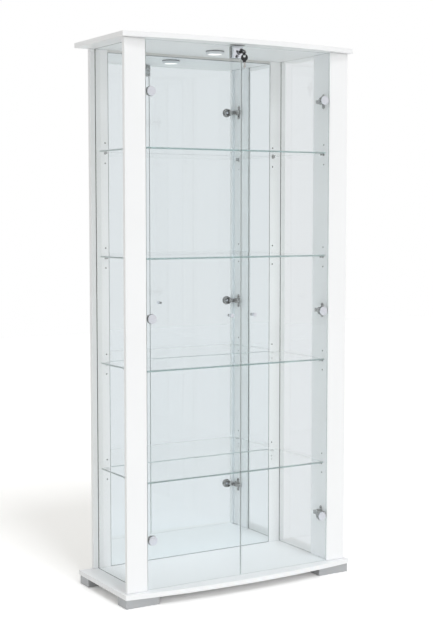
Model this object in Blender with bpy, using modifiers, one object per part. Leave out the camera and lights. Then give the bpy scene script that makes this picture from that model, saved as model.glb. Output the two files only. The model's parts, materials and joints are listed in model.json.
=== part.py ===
"""A glass display case, in metres, +Z up, the front towards -Y and the origin under its middle.

White laminated posts stand between two bow-fronted panels. Two frameless glass doors hang on
concealed hinges, the left one has a lock, and glass shelves rest on pins in front of a mirror.
"""

import math

import bmesh
import bpy
from mathutils import Matrix, Vector

# Case
CASE_WIDTH = 0.835
CASE_DEPTH = 0.337  # from the straight back to the front corners
CASE_HEIGHT = 1.730
BOW = 0.033  # how far the front edge swells out at the middle
BOARD = 0.015
BOARD_ROUNDING = 0.001
BOW_STEPS = 24
SEAT = 0.0003  # gap between pieces that touch

# Feet
FOOT_WIDTH = 0.115
FOOT_DEPTH = 0.060
FOOT_HEIGHT = 0.029
FOOT_INSET = 0.003
FOOT_ROUNDING = 0.0015

# Uprights
POST_WIDTH = 0.0705
POST_INSET = 0.011
POST_SETBACK = 0.0125
POST_ROUNDING = 0.002
STILE_DEPTH = 0.0912
REAR_POST_WIDTH = 0.0645
REAR_POST_INSET = 0.046
LIP = 0.004  # what is left of a rear post in front of its rebate
REBATE = 0.006

# Side glass, mirror and back
GLASS = 0.004
GLASS_INSET = 0.0655
ARRIS = 0.0004  # the ground-off edge of every glass sheet
GROOVE = 0.005
GROOVE_PLAY = 0.0005
MIRROR = 0.003
MIRROR_SETBACK = 0.001
MIRROR_TOP_GAP = 0.008
BACK_BOARD = 0.003

# Shelves: the lower ones measured up from the base and the top one down from the top
SHELF = 0.005
SHELF_RISES = (0.3256, 0.6705, 1.0135)
TOP_SHELF_DROP = 0.3231
SHELF_SIDE_GAP = 0.0055
SHELF_BACK_GAP = 0.003
SHELF_FRONT_GAP = 0.022  # behind the door glass
PIN_RADIUS = 0.0025
PIN_REACH = 0.012
PIN_SIDES = 12
HOLE_PITCH = 0.032
HOLE_DEPTH = 0.009
FRONT_PIN_SETBACK = 0.0316
REAR_PIN_INSET = 0.0105

# Doors
DOOR = 0.005
DOOR_RECESS = 0.002
DOOR_SIDE_GAP = 0.0015
DOOR_MEET_GAP = 0.002
DOOR_END_GAP = 0.002

# Hinges
HINGE_INSET = 0.018
HINGE_END = 0.152
CAP_RADIUS = 0.0145
CAP_HEIGHT = 0.0035
CAP_ROUNDING = 0.0016
CUP_RADIUS = 0.013
CUP_DEPTH = 0.0125
CUP_WALL = 0.0022
CUP_FLOOR = 0.003
CUP_FLANGE = 0.0025
CUP_FLANGE_HEIGHT = 0.002
ARM_WIDTH = 0.012
ARM_HEIGHT = 0.016
ARM_WALL = 0.0015
ARM_END = 0.064  # behind the door glass
ARM_BEND = 0.020
NOSE_START = 0.0045
NOSE_DEPTH = 0.006
NOSE_SHORT = 0.006  # from the tip of the nose to the middle of the cup
PLATE = 0.0025
PLATE_LENGTH = 0.042
PLATE_WIDTH = 0.016
PLATE_WING_SPAN = 0.048
PLATE_WING = 0.012
PLATE_WING_HEIGHT = 0.002
PLATE_MIDDLE = 0.041  # behind the door glass
PLATE_RIB_LENGTH = 0.034
PLATE_SCREW_RADIUS = 0.0021
ARM_SCREW_RADIUS = 0.0028
ARM_SCREW_PITCH = 0.020

# Knobs
KNOB_RADIUS = 0.006
KNOB_LENGTH = 0.018
KNOB_NECK = 0.0042
KNOB_INSET = 0.042  # from the middle of the case
SCREW_RADIUS = 0.002
SCREW_HEAD_RADIUS = 0.0045
SCREW_HEAD = 0.003
SCREW_GRIP = 0.007

# Lock
LOCK_WIDTH = 0.034
LOCK_HEIGHT = 0.037
LOCK_DEPTH = 0.011
LOCK_EDGE = 0.0005  # between the case and the meeting edge of the door
LOCK_DROP = 0.0015  # below the top edge of the door
LOCK_ROUNDING = 0.0015
CLAMP_DEPTH = 0.012  # behind the door glass
BARREL_RADIUS = 0.0075
PLUG_RADIUS = 0.0052
PLUG_OFFSET = 0.0065  # towards the meeting edge from the middle of the case
PLUG_PROUD = 0.001
SET_SCREW_RADIUS = 0.0025
SET_SCREW_OFFSET = 0.015  # from the plug's axis
SET_SCREW_PITCH = 0.020
BOLT_WIDTH = 0.007
BOLT_DEPTH = 0.005
BOLT_LENGTH = 0.022
BOLT_OFFSET = 0.0145  # from the plug's axis
BOLT_TRAVEL = 0.008
STRIKE_LENGTH = 0.048
STRIKE_WIDTH = 0.012
STRIKE = 0.0012

# Keys and ring
KEY_BOW_RADIUS = 0.0108
KEY_BOW = 0.0026
KEY_NECK = 0.0045
KEY_NECK_WIDTH = 0.009
KEY_BLADE = 0.002
KEY_BLADE_WIDTH = 0.0074
KEY_BLADE_LENGTH = 0.019
KEY_HOLE_RADIUS = 0.004
KEY_RIM = 0.0025
KEY_NOTCH = 0.0015
KEY_TILT = math.radians(45)
RING_RADIUS = 0.008
RING_WIRE = 0.0008
RING_LIFT = 0.0029  # from the key's axis to the inside of the ring's top

# Light
LIGHT_SETBACK = 0.177
LIGHT_RADIUS = 0.029
LIGHT_HEIGHT = 0.011
LIGHT_WALL = 0.005
LIGHT_ROUNDING = 0.003
LENS_DOME = 0.002
LENS_EDGE = 0.003

# Places worked out from the sizes above
HALF = CASE_WIDTH / 2
Y_BACK = (CASE_DEPTH + BOW) / 2
Y_CORNER = Y_BACK - CASE_DEPTH
Z_FLOOR = FOOT_HEIGHT + BOARD
Z_CEILING = CASE_HEIGHT - BOARD
POST_OUT = HALF - POST_INSET
POST_IN = POST_OUT - POST_WIDTH
Y_POST = Y_CORNER + POST_SETBACK
GLASS_X = HALF - GLASS_INSET
STILE_IN = GLASS_X - BOARD / 2
STILE_OUT = GLASS_X + BOARD / 2
Y_STILE = Y_POST + BOARD + SEAT
Y_STILE_END = Y_STILE + STILE_DEPTH
REAR_OUT = HALF - REAR_POST_INSET
REAR_IN = REAR_OUT - REAR_POST_WIDTH
Y_REAR = Y_BACK - BOARD
SHELF_HEIGHTS = [Z_FLOOR + rise for rise in SHELF_RISES] + [Z_CEILING - TOP_SHELF_DROP]
DOOR_OUT = POST_IN - DOOR_SIDE_GAP
DOOR_IN = DOOR_MEET_GAP / 2
Y_DOOR = Y_POST + DOOR_RECESS
Y_INSIDE = Y_DOOR + DOOR
DOOR_LOW = Z_FLOOR + DOOR_END_GAP
DOOR_HIGH = Z_CEILING - DOOR_END_GAP
DOOR_MIDDLE = (DOOR_LOW + DOOR_HIGH) / 2
HINGE_X = DOOR_OUT - HINGE_INSET
HINGE_HEIGHTS = {
    "lower": DOOR_LOW + HINGE_END,
    "middle": DOOR_MIDDLE,
    "upper": DOOR_HIGH - HINGE_END,
}
LOCK_IN = DOOR_IN + LOCK_EDGE
LOCK_TOP = DOOR_HIGH - LOCK_DROP
LOCK_BACK = Y_DOOR - SEAT
LOCK_FRONT = LOCK_BACK - LOCK_DEPTH
PLUG_X = -(LOCK_IN + LOCK_WIDTH / 2 - PLUG_OFFSET)
PLUG_Z = LOCK_TOP - LOCK_HEIGHT / 2
PLUG_FACE = LOCK_FRONT - PLUG_PROUD
BARREL_END = Y_INSIDE + CLAMP_DEPTH
BOLT_X = PLUG_X - BOLT_OFFSET
BOLT_Y = (LOCK_BACK + LOCK_FRONT) / 2
KEY_SHOULDER = PLUG_FACE - SEAT
KEY_BOW_MIDDLE = KEY_NECK + KEY_BOW_RADIUS - KEY_BLADE / 2
KEY_BOW_END = KEY_BOW_MIDDLE + KEY_BOW_RADIUS
KEY_HOLE_MIDDLE = KEY_BOW_END - KEY_RIM - KEY_HOLE_RADIUS
RING_Y = KEY_SHOULDER - KEY_BOW_END + KEY_RIM / 2
RING_Z = PLUG_Z + RING_LIFT + RING_WIRE - RING_RADIUS
SPARE_HOLE_TOP = RING_Z - RING_RADIUS + RING_WIRE + 2 * SEAT
SIDES = (("left", -1), ("right", 1))
FORWARD = (math.pi / 2, 0, 0)  # turns a piece's own +Z towards the front
MARGIN = 0.002  # how far a cutter runs past the face it opens


def clear_scene():
    for obj in list(bpy.data.objects):
        bpy.data.objects.remove(obj, do_unlink=True)


def new_collection(name):
    collection = bpy.data.collections.new(name)
    bpy.context.scene.collection.children.link(collection)
    return collection


clear_scene()
PARTS = new_collection("display_case")
CUTTERS = new_collection("display_case_cutters")


def finish(name, colour, roughness, metallic=0.0, transmission=0.0):
    """A Principled material, made once and shared by the pieces that have that finish."""
    material = bpy.data.materials.get(name)
    if material:
        return material
    material = bpy.data.materials.new(name)
    material.use_nodes = True
    shader = material.node_tree.nodes["Principled BSDF"]
    shader.inputs["Base Color"].default_value = (*colour, 1.0)
    shader.inputs["Roughness"].default_value = roughness
    shader.inputs["Metallic"].default_value = metallic
    shader.inputs["Transmission Weight"].default_value = transmission
    return material


WHITE_LAMINATE = finish("white_laminate", (0.90, 0.91, 0.94), 0.45)
GREY_FOOT = finish("grey_foot", (0.46, 0.46, 0.47), 0.40, 0.6)
CLEAR_GLASS = finish("clear_glass", (0.90, 0.97, 0.94), 0.02, 0.0, 1.0)
MIRROR_GLASS = finish("mirror_glass", (0.86, 0.90, 0.91), 0.02, 1.0)
HARDBOARD = finish("painted_hardboard", (0.62, 0.62, 0.60), 0.75)
CHROME = finish("chrome", (0.78, 0.78, 0.80), 0.15, 1.0)
NICKEL = finish("nickel_plate", (0.62, 0.62, 0.63), 0.28, 1.0)
BLACK_PLASTIC = finish("black_plastic", (0.02, 0.02, 0.022), 0.45)
FROSTED_LENS = finish("frosted_lens", (0.92, 0.92, 0.90), 0.50, 0.0, 0.4)


def add(name, mesh, material):
    """Makes an object: a part where it has a material, and a hidden cutter where it has none."""
    obj = bpy.data.objects.new(name, mesh)
    if material:
        mesh.materials.append(material)
        PARTS.objects.link(obj)
    else:
        CUTTERS.objects.link(obj)
        obj.hide_render = True
        obj.display_type = "WIRE"
    return obj


def mesh_from(bm, name):
    mesh = bpy.data.meshes.new(name)
    bm.to_mesh(mesh)
    bm.free()
    return mesh


def smooth(mesh):
    mesh.shade_smooth()
    mesh.set_sharp_from_angle(angle=math.radians(35))


def round_edges(obj, width, segments=2):
    bevel = obj.modifiers.new("rounded_edges", "BEVEL")
    bevel.width = width
    bevel.segments = segments
    bevel.limit_method = "ANGLE"


def block(name, low, high, material=None, rounding=0.0, segments=2):
    """A rectangular piece between two corners, its edges rounded, or chamfered with one segment."""
    low = Vector(low)
    high = Vector(high)
    bm = bmesh.new()
    bmesh.ops.create_cube(bm, size=1.0)
    bmesh.ops.scale(bm, vec=high - low, verts=bm.verts)
    obj = add(name, mesh_from(bm, name), material)
    obj.location = (low + high) / 2
    if rounding:
        round_edges(obj, rounding, segments)
    return obj


def slab(name, outline, thickness, material=None, rounding=0.0):
    """A flat piece with an outline in its own XY plane, half its thickness to each side."""
    curve = bpy.data.curves.new(name + "_outline", "CURVE")
    curve.dimensions = "2D"
    curve.fill_mode = "BOTH"
    curve.extrude = thickness / 2
    spline = curve.splines.new("POLY")
    spline.points.add(len(outline) - 1)
    for point, (x, y) in zip(spline.points, outline):
        point.co = (x, y, 0, 1)
    spline.use_cyclic_u = True
    guide = bpy.data.objects.new(name + "_outline", curve)
    CUTTERS.objects.link(guide)
    graph = bpy.context.evaluated_depsgraph_get()
    filled = bpy.data.meshes.new_from_object(guide.evaluated_get(graph))
    bpy.data.objects.remove(guide)
    bm = bmesh.new()
    bm.from_mesh(filled)
    bmesh.ops.remove_doubles(bm, verts=bm.verts, dist=1e-6)
    bmesh.ops.dissolve_limit(bm, angle_limit=1e-4, verts=bm.verts, edges=bm.edges)
    bmesh.ops.recalc_face_normals(bm, faces=bm.faces)
    obj = add(name, mesh_from(bm, name), material)
    if rounding:
        round_edges(obj, rounding)
    return obj


def turned(name, profile, material, location, steps=32):
    """A turned piece from (radius, height) points, down its outside, its own +Z to the front."""
    bm = bmesh.new()
    points = [bm.verts.new((radius, 0, height)) for radius, height in profile]
    for start, end in zip(points, points[1:]):
        bm.edges.new((start, end))
    obj = add(name, mesh_from(bm, name), material)
    screw = obj.modifiers.new("turned", "SCREW")
    screw.steps = steps
    screw.render_steps = steps
    screw.use_merge_vertices = True
    screw.merge_threshold = 1e-5
    screw.use_smooth_shade = True
    obj.location = location
    obj.rotation_euler = FORWARD
    return obj


def rods(name, places, radius, length, axis, sides=PIN_SIDES):
    """A set of short cylinders, each starting at a place and running along the axis."""
    bm = bmesh.new()
    turn = Vector((0, 0, 1)).rotation_difference(Vector(axis)).to_matrix().to_4x4()
    for place in places:
        middle = Vector(place) + Vector(axis) * length / 2
        bmesh.ops.create_cone(
            bm,
            cap_ends=True,
            segments=sides,
            radius1=radius,
            radius2=radius,
            depth=length,
            matrix=Matrix.Translation(middle) @ turn,
        )
    return add(name, mesh_from(bm, name), None)


def combine(obj, tool, operation):
    boolean = obj.modifiers.new(tool.name, "BOOLEAN")
    boolean.operation = operation
    boolean.solver = "EXACT"
    boolean.object = tool


def cut(obj, tool):
    combine(obj, tool, "DIFFERENCE")


def fuse(obj, tool):
    combine(obj, tool, "UNION")


def across(side, near, far):
    """The low and high x of what lies between two distances from the middle plane."""
    return sorted((side * near, side * far))


def arc(centre, radius, start, end, steps):
    """Points on a circle from one angle to another, in degrees."""
    points = []
    for step in range(steps + 1):
        angle = math.radians(start + (end - start) * step / steps)
        points.append((centre[0] + radius * math.cos(angle), centre[1] + radius * math.sin(angle)))
    return points


def bow_outline():
    """The outline of the top and base panels: straight back and sides, and an arc at the front."""
    radius = (HALF**2 + BOW**2) / (2 * BOW)
    reach = math.degrees(math.asin(HALF / radius))
    front = arc((0, Y_CORNER - BOW + radius), radius, 270 + reach, 270 - reach, BOW_STEPS)
    return [(-HALF, Y_BACK), (HALF, Y_BACK), *front]


def joint_empty(name, place, pieces, parent=None):
    """An empty on a joint's axis, which carries the pieces of the body that moves there."""
    empty = bpy.data.objects.new(name, None)
    empty.empty_display_size = 0.03
    PARTS.objects.link(empty)
    empty.location = place
    if parent:
        empty.parent = parent
        empty.matrix_parent_inverse = Matrix.Translation(-Vector(parent["place"]))
    empty["place"] = place
    for piece in pieces:
        piece.parent = empty
        piece.matrix_parent_inverse = Matrix.Translation(-Vector(place))
    return empty


def cut_panel_grooves(panel, face):
    """Cuts the grooves of the side glass and of the back board into a panel's inner face."""
    low = face - GROOVE
    high = face + GROOVE
    play = GLASS / 2 + GROOVE_PLAY
    for word, side in SIDES:
        x_low, x_high = across(side, GLASS_X - play, GLASS_X + play)
        groove = block(
            f"{panel.name}_groove_{word}",
            (x_low, Y_STILE_END - GROOVE, low),
            (x_high, Y_REAR + GROOVE, high),
        )
        cut(panel, groove)
    board = block(
        f"{panel.name}_groove_back",
        (-REAR_IN - REBATE, Y_REAR + LIP, low),
        (REAR_IN + REBATE, Y_REAR + LIP + BACK_BOARD + 2 * SEAT, high),
    )
    cut(panel, board)


def panels():
    """The base and the top: one bow-fronted board each, grooved for the glass and the back."""
    made = []
    for name, low, face in (("base_panel", FOOT_HEIGHT, Z_FLOOR), ("top_panel", Z_CEILING, Z_CEILING)):
        panel = slab(name, bow_outline(), BOARD, WHITE_LAMINATE, BOARD_ROUNDING)
        panel.location.z = low + BOARD / 2
        cut_panel_grooves(panel, face)
        made.append(panel)
    mortise = block(
        "bolt_mortise",
        (BOLT_X - BOLT_WIDTH / 2 - 2 * SEAT, BOLT_Y - BOLT_DEPTH / 2 - 2 * SEAT, Z_CEILING - MARGIN),
        (BOLT_X + BOLT_WIDTH / 2 + 2 * SEAT, BOLT_Y + BOLT_DEPTH / 2 + 2 * SEAT, Z_CEILING + BOLT_TRAVEL),
    )
    cut(made[1], mortise)


def feet():
    """Four metal-faced blocks under the corners of the base."""
    depths = {
        "front": (Y_CORNER + FOOT_INSET, Y_CORNER + FOOT_INSET + FOOT_DEPTH),
        "rear": (Y_BACK - FOOT_INSET - FOOT_DEPTH, Y_BACK - FOOT_INSET),
    }
    for end, (y_low, y_high) in depths.items():
        for word, side in SIDES:
            x_low, x_high = across(side, HALF - FOOT_INSET - FOOT_WIDTH, HALF - FOOT_INSET)
            block(
                f"foot_{end}_{word}",
                (x_low, y_low, 0),
                (x_high, y_high, FOOT_HEIGHT - SEAT),
                GREY_FOOT,
                FOOT_ROUNDING,
            )


def upright(name, x_low, x_high, y_low, y_high, rounding):
    """A board that stands between the base and the top."""
    low = (x_low, y_low, Z_FLOOR + SEAT)
    high = (x_high, y_high, Z_CEILING - SEAT)
    return block(name, low, high, WHITE_LAMINATE, rounding)


def drill_pins(board, x, y, inward):
    """Drills the spare holes of a board and sets its shelf pins, which point into the case."""
    pin_heights = [height - SEAT - PIN_RADIUS for height in SHELF_HEIGHTS]
    inward = Vector(inward)
    mouth = Vector((x, y, 0))
    spares = []
    pins = []
    for height in pin_heights:
        pins.append(mouth - inward * HOLE_DEPTH + Vector((0, 0, height)))
        for step in (-HOLE_PITCH, HOLE_PITCH):
            spares.append(mouth + inward * MARGIN + Vector((0, 0, height + step)))
    holes = rods(f"{board.name}_holes", spares, PIN_RADIUS, HOLE_DEPTH + MARGIN, -inward)
    cut(board, holes)
    set_pins = rods(f"{board.name}_pins", pins, PIN_RADIUS, HOLE_DEPTH + PIN_REACH, inward)
    fuse(board, set_pins)


def uprights():
    """Front posts with a hinge stile behind each, and rear posts rebated for the back."""
    play = GLASS / 2 + GROOVE_PLAY
    z_low = Z_FLOOR - MARGIN
    z_high = Z_CEILING + MARGIN
    for word, side in SIDES:
        upright(f"front_post_{word}", *across(side, POST_IN, POST_OUT), Y_POST, Y_POST + BOARD, POST_ROUNDING)

        stile = upright(
            f"hinge_stile_{word}", *across(side, STILE_IN, STILE_OUT), Y_STILE, Y_STILE_END, BOARD_ROUNDING
        )
        x_low, x_high = across(side, GLASS_X - play, GLASS_X + play)
        groove = block(
            f"stile_groove_{word}",
            (x_low, Y_STILE_END - GROOVE, z_low),
            (x_high, Y_STILE_END + MARGIN, z_high),
        )
        cut(stile, groove)
        drill_pins(stile, side * STILE_IN, Y_STILE + FRONT_PIN_SETBACK, (-side, 0, 0))

        post = upright(f"rear_post_{word}", *across(side, REAR_IN, REAR_OUT), Y_REAR, Y_BACK, BOARD_ROUNDING)
        groove = block(
            f"rear_post_groove_{word}", (x_low, Y_REAR - MARGIN, z_low), (x_high, Y_REAR + GROOVE, z_high)
        )
        cut(post, groove)
        x_low, x_high = across(side, REAR_IN - MARGIN, REAR_IN + REBATE)
        rebate = block(
            f"rear_post_rebate_{word}", (x_low, Y_REAR + LIP, z_low), (x_high, Y_BACK + MARGIN, z_high)
        )
        cut(post, rebate)
        drill_pins(post, side * (REAR_IN + REAR_PIN_INSET), Y_REAR, (0, -1, 0))


def sheets():
    """The side glass in its grooves, the mirror between the rear posts and the board behind it."""
    groove_low = Z_FLOOR - GROOVE + SEAT
    groove_high = Z_CEILING + GROOVE - SEAT
    for word, side in SIDES:
        x_low, x_high = across(side, GLASS_X - GLASS / 2, GLASS_X + GLASS / 2)
        block(
            f"side_glass_{word}",
            (x_low, Y_STILE_END - GROOVE + SEAT, groove_low),
            (x_high, Y_REAR + GROOVE - SEAT, groove_high),
            CLEAR_GLASS,
            ARRIS,
            segments=1,
        )
    block(
        "mirror_sheet",
        (-REAR_IN + SEAT, Y_REAR + MIRROR_SETBACK, Z_FLOOR + SEAT),
        (REAR_IN - SEAT, Y_REAR + MIRROR_SETBACK + MIRROR, Z_CEILING - MIRROR_TOP_GAP),
        MIRROR_GLASS,
        ARRIS,
        segments=1,
    )
    block(
        "back_board",
        (-REAR_IN - REBATE + SEAT, Y_REAR + LIP + SEAT, groove_low),
        (REAR_IN + REBATE - SEAT, Y_REAR + LIP + SEAT + BACK_BOARD, groove_high),
        HARDBOARD,
    )


def shelves():
    """Loose glass shelves, each on four pins, with its joint's empty at the middle of its underside."""
    half_width = STILE_IN - SHELF_SIDE_GAP
    y_low = Y_INSIDE + SHELF_FRONT_GAP
    y_high = Y_REAR - SHELF_BACK_GAP
    for number, height in enumerate(SHELF_HEIGHTS, 1):
        shelf = block(
            f"glass_shelf_{number}",
            (-half_width, y_low, height),
            (half_width, y_high, height + SHELF),
            CLEAR_GLASS,
            ARRIS,
            segments=1,
        )
        joint_empty(f"shelf_{number}_lift", (0, (y_low + y_high) / 2, height), [shelf])


def light():
    """A round light screwed under the top: a turned ring and a domed lens set in it."""
    place = (0, Y_CORNER + LIGHT_SETBACK, Z_CEILING - SEAT)
    mouth = LIGHT_RADIUS - LIGHT_WALL
    housing = turned(
        "light_housing",
        [
            (0, 0),
            (LIGHT_RADIUS, 0),
            (LIGHT_RADIUS, LIGHT_ROUNDING - LIGHT_HEIGHT),
            (LIGHT_RADIUS - LIGHT_ROUNDING, -LIGHT_HEIGHT),
            (mouth, -LIGHT_HEIGHT),
            (mouth, -LIGHT_HEIGHT / 2),
            (0, -LIGHT_HEIGHT / 2),
        ],
        CHROME,
        place,
    )
    lens_top = -LIGHT_HEIGHT / 2 - SEAT
    lens = turned(
        "light_lens",
        [
            (0, lens_top),
            (mouth - SEAT, lens_top),
            (mouth - SEAT, lens_top - LENS_EDGE),
            (mouth * 2 / 3, lens_top - LENS_EDGE - LENS_DOME * 0.7),
            (mouth / 3, lens_top - LENS_EDGE - LENS_DOME * 0.95),
            (0, lens_top - LENS_EDGE - LENS_DOME),
        ],
        FROSTED_LENS,
        place,
    )
    for piece in (housing, lens):
        piece.rotation_euler = (0, 0, 0)


def hinge_plate(name, side, height):
    """A cross-shaped plate screwed to the stile, with a rib that the arm straddles."""
    y = Y_INSIDE + PLATE_MIDDLE
    under = STILE_IN - SEAT
    x_low, x_high = across(side, under - PLATE, under)
    plate = block(
        name,
        (x_low, y - PLATE_LENGTH / 2, height - PLATE_WIDTH / 2),
        (x_high, y + PLATE_LENGTH / 2, height + PLATE_WIDTH / 2),
        NICKEL,
    )
    half_wing = PLATE_WING / 2
    reach = PLATE_WING_SPAN / 2 - half_wing
    wing_outline = arc((0, reach), half_wing, 0, 180, 6) + arc((0, -reach), half_wing, 180, 360, 6)
    wings = slab(f"{name}_wings", wing_outline, PLATE_WING_HEIGHT)
    wings.location = (side * (under - PLATE / 2), y, height)
    wings.rotation_euler = (math.pi / 2, 0, math.pi / 2)
    fuse(plate, wings)
    half_rib = ARM_WIDTH / 2 - ARM_WALL - 2 * SEAT
    x_low, x_high = across(side, STILE_IN - ARM_HEIGHT + ARM_WALL + SEAT, under - PLATE / 2)
    rib = block(
        f"{name}_rib",
        (x_low, y - PLATE_RIB_LENGTH / 2, height - half_rib),
        (x_high, y + PLATE_RIB_LENGTH / 2, height + half_rib),
    )
    fuse(plate, rib)
    inward = Vector((-side, 0, 0))
    screws = [Vector((side * STILE_IN, y, height + step)) for step in (-reach, reach)]
    cut(plate, rods(f"{name}_screw_holes", screws, PLATE_SCREW_RADIUS, PLATE + MARGIN, inward, 10))


def hinge_arm(name, side, height):
    """A pressed channel over the plate's rib, cranked at its front so its nose enters the cup."""
    foot = STILE_IN - PLATE - 2 * SEAT
    crown = STILE_IN - ARM_HEIGHT
    nose_root = POST_IN - 2 * SEAT
    nose_tip = HINGE_X + NOSE_SHORT
    nose_back = NOSE_START + NOSE_DEPTH
    section = [
        (foot, ARM_END),
        (crown, ARM_END),
        (crown, ARM_BEND),
        (nose_tip, nose_back),
        (nose_tip, NOSE_START),
        (nose_root, NOSE_START),
        (nose_root, nose_back + ARM_WALL),
        (foot, ARM_BEND),
    ]
    outline = [(side * x, Y_INSIDE + depth) for x, depth in section]
    arm = slab(name, outline, ARM_WIDTH, NICKEL)
    arm.location.z = height
    half_hollow = ARM_WIDTH / 2 - ARM_WALL
    x_low, x_high = across(side, crown + ARM_WALL, STILE_IN)
    hollow = block(
        f"{name}_hollow",
        (x_low, Y_INSIDE + PLATE_MIDDLE - PLATE_RIB_LENGTH / 2 - SEAT, height - half_hollow),
        (x_high, Y_INSIDE + ARM_END + MARGIN, height + half_hollow),
    )
    cut(arm, hollow)
    y = Y_INSIDE + PLATE_MIDDLE
    inward = Vector((-side, 0, 0))
    steps = (-ARM_SCREW_PITCH / 2, ARM_SCREW_PITCH / 2)
    screws = [Vector((side * STILE_IN, y + step, height)) for step in steps]
    cut(arm, rods(f"{name}_screw_holes", screws, ARM_SCREW_RADIUS, ARM_HEIGHT + MARGIN, inward, 10))


def hinge_cup(name, side, height):
    """A cup through a hole in the door, open at the back and slotted where the arm comes in."""
    bore = CUP_RADIUS - CUP_WALL
    front = DOOR - SEAT
    profile = [
        (0, front),
        (CUP_RADIUS, front),
        (CUP_RADIUS, -SEAT),
        (CUP_RADIUS + CUP_FLANGE, -SEAT),
        (CUP_RADIUS + CUP_FLANGE, -SEAT - CUP_FLANGE_HEIGHT),
        (CUP_RADIUS, -SEAT - CUP_FLANGE_HEIGHT),
        (CUP_RADIUS, -CUP_DEPTH),
        (bore, -CUP_DEPTH),
        (bore, front - CUP_FLOOR),
        (0, front - CUP_FLOOR),
    ]
    cup = turned(name, profile, NICKEL, (side * HINGE_X, Y_INSIDE, height), steps=24)
    half_slot = ARM_WIDTH / 2 + 3 * SEAT
    x_low, x_high = across(side, HINGE_X + NOSE_SHORT / 2, HINGE_X + CUP_RADIUS + CUP_FLANGE)
    slot = block(
        f"{name}_slot",
        (x_low, Y_INSIDE + SEAT + CUP_FLANGE_HEIGHT, height - half_slot),
        (x_high, Y_INSIDE + CUP_DEPTH + MARGIN, height + half_slot),
    )
    cut(cup, slot)
    return cup


def hinge_cap(name, side, height):
    """A round cover on the front of the door, over the hole that the cup fills."""
    profile = [
        (0, SEAT + CAP_HEIGHT),
        (CAP_RADIUS - CAP_ROUNDING, SEAT + CAP_HEIGHT),
        (CAP_RADIUS - CAP_ROUNDING * 0.3, SEAT + CAP_HEIGHT - CAP_ROUNDING * 0.3),
        (CAP_RADIUS, SEAT + CAP_HEIGHT - CAP_ROUNDING),
        (CAP_RADIUS, SEAT),
        (0, SEAT),
    ]
    return turned(name, profile, CHROME, (side * HINGE_X, Y_DOOR, height))


def knob(word, side):
    """A turned knob in front of the door and the screw that holds it from behind."""
    place = (side * KNOB_INSET, Y_DOOR, DOOR_MIDDLE)
    rounding = KNOB_RADIUS / 6
    collar = KNOB_LENGTH / 3
    bore = SCREW_RADIUS + SEAT
    head = turned(
        f"knob_{word}",
        [
            (0, KNOB_LENGTH),
            (KNOB_RADIUS - rounding, KNOB_LENGTH),
            (KNOB_RADIUS, KNOB_LENGTH - rounding),
            (KNOB_RADIUS, collar + rounding),
            (KNOB_NECK, collar - rounding),
            (KNOB_NECK, SEAT),
            (bore, SEAT),
            (bore, SCREW_GRIP + SEAT),
            (0, SCREW_GRIP + SEAT),
        ],
        CHROME,
        place,
        steps=24,
    )
    under_head = -DOOR - SEAT
    screw = turned(
        f"knob_screw_{word}",
        [
            (0, SCREW_GRIP),
            (SCREW_RADIUS, SCREW_GRIP),
            (SCREW_RADIUS, under_head),
            (SCREW_HEAD_RADIUS, under_head),
            (SCREW_HEAD_RADIUS, under_head - SCREW_HEAD / 2),
            (SCREW_HEAD_RADIUS * 0.75, under_head - SCREW_HEAD * 0.85),
            (0, under_head - SCREW_HEAD),
        ],
        NICKEL,
        place,
        steps=20,
    )
    return [head, screw]


def door(word, side):
    """A glass door, then its knob and the cups and caps of its hinges."""
    x_low, x_high = across(side, DOOR_IN, DOOR_OUT)
    glass = block(
        f"door_glass_{word}",
        (x_low, Y_DOOR, DOOR_LOW),
        (x_high, Y_INSIDE, DOOR_HIGH),
        CLEAR_GLASS,
        ARRIS,
        segments=1,
    )
    start = Y_DOOR - MARGIN
    through = DOOR + 2 * MARGIN
    back = (0, 1, 0)
    cup_places = [(side * HINGE_X, start, height) for height in HINGE_HEIGHTS.values()]
    cut(glass, rods(f"door_cup_holes_{word}", cup_places, CUP_RADIUS + SEAT, through, back, 24))
    knob_place = (side * KNOB_INSET, start, DOOR_MIDDLE)
    cut(glass, rods(f"door_knob_hole_{word}", [knob_place], SCREW_RADIUS + SEAT, through, back))
    pieces = [glass, *knob(word, side)]
    for level, height in HINGE_HEIGHTS.items():
        pieces.append(hinge_cup(f"hinge_cup_{word}_{level}", side, height))
        pieces.append(hinge_cap(f"hinge_cap_{word}_{level}", side, height))
        hinge_plate(f"hinge_plate_{word}_{level}", side, height)
        hinge_arm(f"hinge_arm_{word}_{level}", side, height)
    return pieces


def lock_case():
    """The lock's case on the front of the left door, its barrel through the glass."""
    case = block(
        "lock_case",
        (-LOCK_IN - LOCK_WIDTH, LOCK_FRONT, LOCK_TOP - LOCK_HEIGHT),
        (-LOCK_IN, LOCK_BACK, LOCK_TOP),
        CHROME,
        LOCK_ROUNDING,
    )
    middle = (LOCK_FRONT + LOCK_BACK) / 2
    back = (0, 1, 0)
    barrel = rods("lock_barrel", [(PLUG_X, middle, PLUG_Z)], BARREL_RADIUS, BARREL_END - middle, back, 24)
    fuse(case, barrel)
    bore_length = BARREL_END - LOCK_FRONT + 2 * MARGIN
    bore_place = (PLUG_X, LOCK_FRONT - MARGIN, PLUG_Z)
    cut(case, rods("lock_bore", [bore_place], PLUG_RADIUS + SEAT, bore_length, back, 24))
    slot = block(
        "lock_bolt_slot",
        (BOLT_X - BOLT_WIDTH / 2 - SEAT, BOLT_Y - BOLT_DEPTH / 2 - SEAT, LOCK_TOP - BOLT_LENGTH - 2 * SEAT),
        (BOLT_X + BOLT_WIDTH / 2 + SEAT, BOLT_Y + BOLT_DEPTH / 2 + SEAT, LOCK_TOP + MARGIN),
    )
    cut(case, slot)
    return case


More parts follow.
